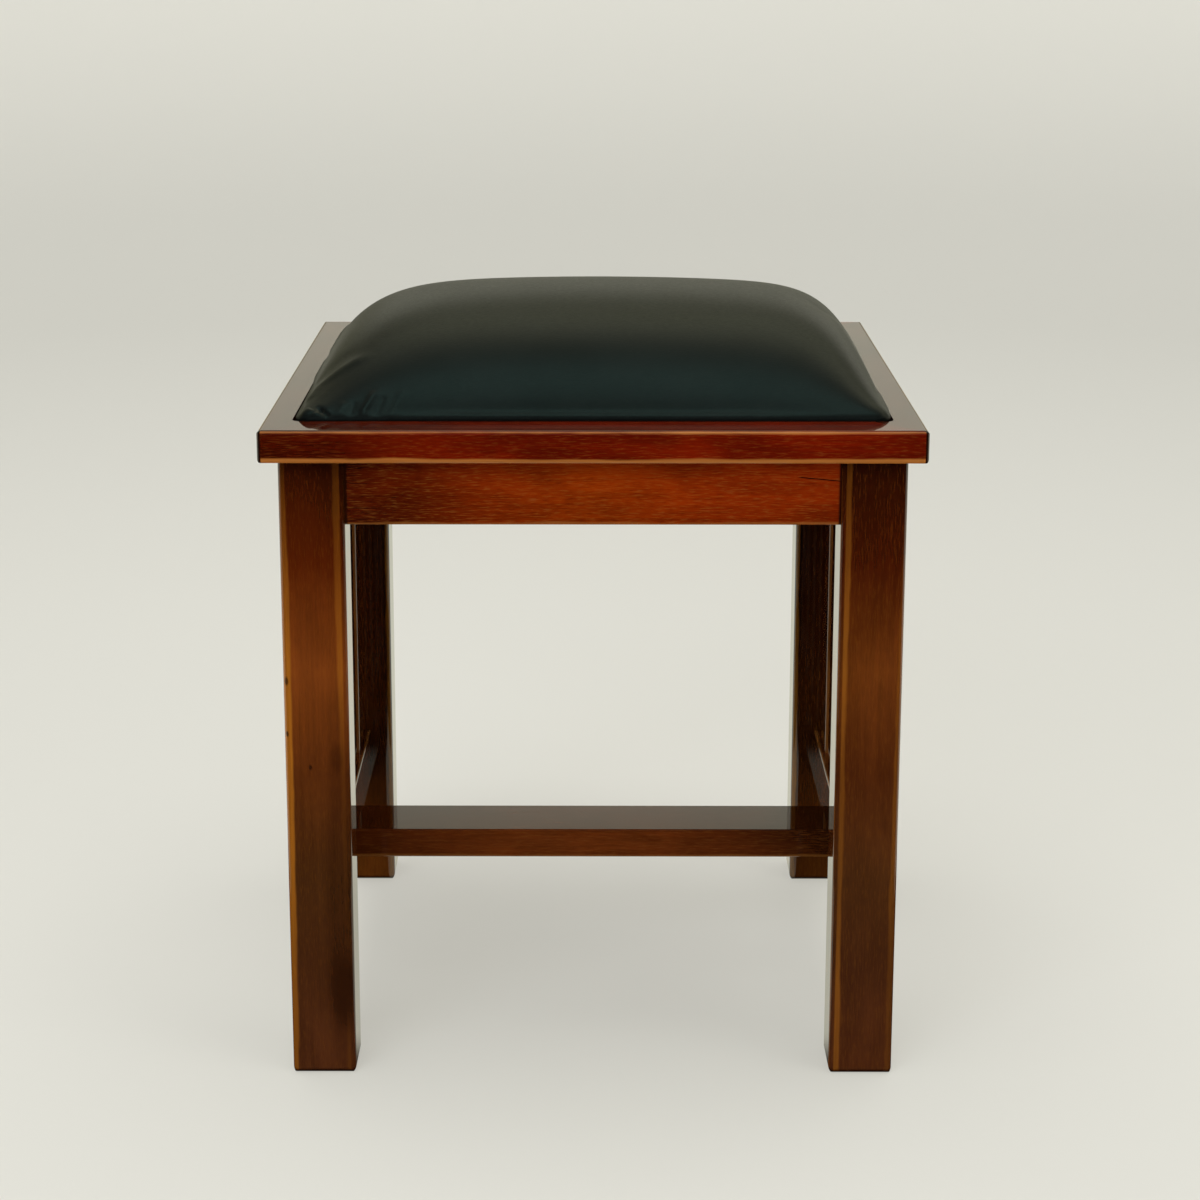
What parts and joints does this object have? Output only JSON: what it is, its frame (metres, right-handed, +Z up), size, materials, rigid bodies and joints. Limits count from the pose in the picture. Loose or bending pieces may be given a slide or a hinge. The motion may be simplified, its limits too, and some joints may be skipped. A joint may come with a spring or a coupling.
{
  "type": "bar stool",
  "caption": "Low square pub stool: straight square legs, mitred seat frame with a crowned drop-in pad, slatted sides and a cross stretcher laid flat.",
  "frame": {"origin": "on the floor, under the middle of the seat", "axes": "+Z up; -Y is the front, which faces the viewer in the picture; +X is to the viewer's right, and the slatted sides are at -X and +X"},
  "size_m": [0.4, 0.4, 0.4771],
  "materials": {
    "lacquered_wood": "red-brown stain under gloss lacquer, rubbed lighter along the arrises",
    "bare_beech": "bare planed beech",
    "plywood": "bare plywood",
    "foam": "open-cell upholstery foam",
    "black_leathercloth": "satin, fine grain",
    "screw_steel": "zinc plated",
    "dust_cloth": "spunbonded cloth"
  },
  "bodies": {
    "stool_frame": {"seat_rail_front": "lacquered_wood", "seat_rail_back": "lacquered_wood", "seat_rail_left": "lacquered_wood", "seat_rail_right": "lacquered_wood", "corner_biscuits": "bare_beech", "leg_front_left": "lacquered_wood", "leg_front_right": "lacquered_wood", "leg_back_left": "lacquered_wood", "leg_back_right": "lacquered_wood", "apron_front": "lacquered_wood", "apron_back": "lacquered_wood", "apron_left": "lacquered_wood", "apron_right": "lacquered_wood", "apron_dowels": "bare_beech", "corner_block_front_left": "bare_beech", "corner_block_front_right": "bare_beech", "corner_block_back_left": "bare_beech", "corner_block_back_right": "bare_beech", "corner_block_screws": "screw_steel", "seat_frame_screws": "screw_steel", "side_stretcher_left": "lacquered_wood", "side_stretcher_right": "lacquered_wood", "cross_stretcher": "lacquered_wood", "stretcher_dowels": "bare_beech", "slat_left_1": "lacquered_wood", "slat_left_2": "lacquered_wood", "slat_left_3": "lacquered_wood", "slat_left_4": "lacquered_wood", "slat_left_5": "lacquered_wood", "slat_right_1": "lacquered_wood", "slat_right_2": "lacquered_wood", "slat_right_3": "lacquered_wood", "slat_right_4": "lacquered_wood", "slat_right_5": "lacquered_wood"},
    "seat_pad": {"pad_board": "plywood", "pad_foam": "foam", "pad_cover": "black_leathercloth", "pad_staples": "screw_steel", "pad_dust_cloth": "dust_cloth"}
  },
  "joints": [
    {"name": "pad_lift", "type": "slide", "parent": "stool_frame", "child": "seat_pad", "axis": [0, 0, 1], "range_m": [0, 0.06]}
  ]
}
